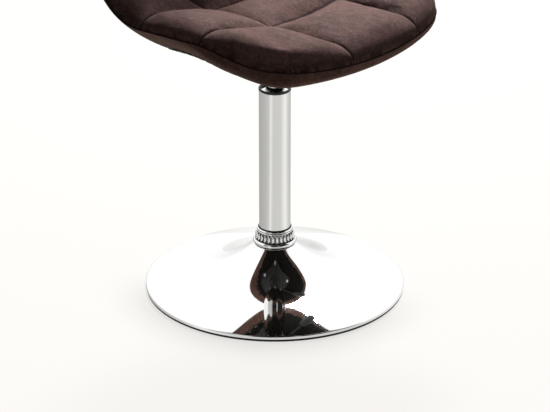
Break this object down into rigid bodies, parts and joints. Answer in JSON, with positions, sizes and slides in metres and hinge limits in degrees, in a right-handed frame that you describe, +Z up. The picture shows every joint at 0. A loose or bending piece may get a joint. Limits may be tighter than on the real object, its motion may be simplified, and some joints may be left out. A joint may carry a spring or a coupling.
{
  "type": "quilted swivel chair",
  "caption": "Swivel chair with a quilted one-piece shell seat on a height-adjustable gas-lift column and a chromed trumpet disc foot.",
  "frame": {"origin": "on the floor, under the middle of the chair's footprint; the column axis stands at x 0, y -0.0318", "axes": "+Z up, -Y the way the sitter faces, +X to the sitter's left"},
  "size_m": [0.486, 0.4896, 0.829],
  "materials": {
    "chrome": "polished chrome plate",
    "steel": "bright zinc-plated steel",
    "black_steel": "black powder coat",
    "black_plastic": "moulded black plastic",
    "rubber": "black rubber",
    "plywood": "raw plywood",
    "suede": "dark brown vintage suede-look microfibre"
  },
  "bodies": {
    "foot": {"trumpet_base": "chrome", "ballast_plate": "black_steel", "floor_ring": "rubber", "base_socket": "black_steel", "column_tube": "chrome", "trim_collar": "chrome", "collar_gasket": "rubber", "guide_bush": "black_plastic", "bearing_lower_washer": "steel"},
    "bearing": {"bearing_cage": "black_plastic", "bearing_ball_1": "steel", "bearing_ball_2": "steel", "bearing_ball_3": "steel", "bearing_ball_4": "steel", "bearing_ball_5": "steel", "bearing_ball_6": "steel", "bearing_ball_7": "steel", "bearing_ball_8": "steel"},
    "rod": {"piston_rod": "steel", "piston": "black_plastic", "rod_buffer": "rubber", "bearing_upper_washer": "steel", "retaining_washer": "steel", "retaining_clip": "steel"},
    "seat": {"gas_cylinder": "chrome", "rod_seal": "rubber", "taper_hub": "black_steel", "seat_plate": "black_steel", "lever_bush": "black_plastic", "seat_board": "plywood", "inner_shell": "plywood", "quilted_pad": "suede", "outer_cover": "suede", "plate_bolt_1": "steel", "plate_bolt_2": "steel", "plate_bolt_3": "steel", "plate_bolt_4": "steel", "plate_washer_1": "steel", "plate_washer_2": "steel", "plate_washer_3": "steel", "plate_washer_4": "steel", "tee_nut_1": "steel", "tee_nut_2": "steel", "tee_nut_3": "steel", "tee_nut_4": "steel"},
    "lever": {"lever_rod": "black_steel", "lever_grip": "black_plastic"},
    "valve": {"release_pin": "steel"}
  },
  "joints": [
    {"name": "swivel", "type": "hinge", "parent": "foot", "child": "rod", "pos_m": [0, -0.0318, 0], "axis": [0, 0, 1], "continuous": true},
    {"name": "bearing_roll", "type": "hinge", "parent": "foot", "child": "bearing", "pos_m": [0, -0.0318, 0], "axis": [0, 0, 1], "continuous": true},
    {"name": "height", "type": "slide", "parent": "rod", "child": "seat", "axis": [0, 0, 1], "range_m": [0, 0.12]},
    {"name": "lever_lift", "type": "hinge", "parent": "seat", "child": "lever", "pos_m": [0.04875, -0.0318, 0.3889], "axis": [0, -1, 0], "range_deg": [0, 5]},
    {"name": "valve_press", "type": "slide", "parent": "seat", "child": "valve", "axis": [0, 0, -1], "range_m": [0, 0.0046]}
  ],
  "couplings": [
    {"joint": "bearing_roll", "follows": "swivel", "ratio": 0.5},
    {"joint": "valve_press", "follows": "lever_lift", "m_per_rad": 0.04875}
  ]
}
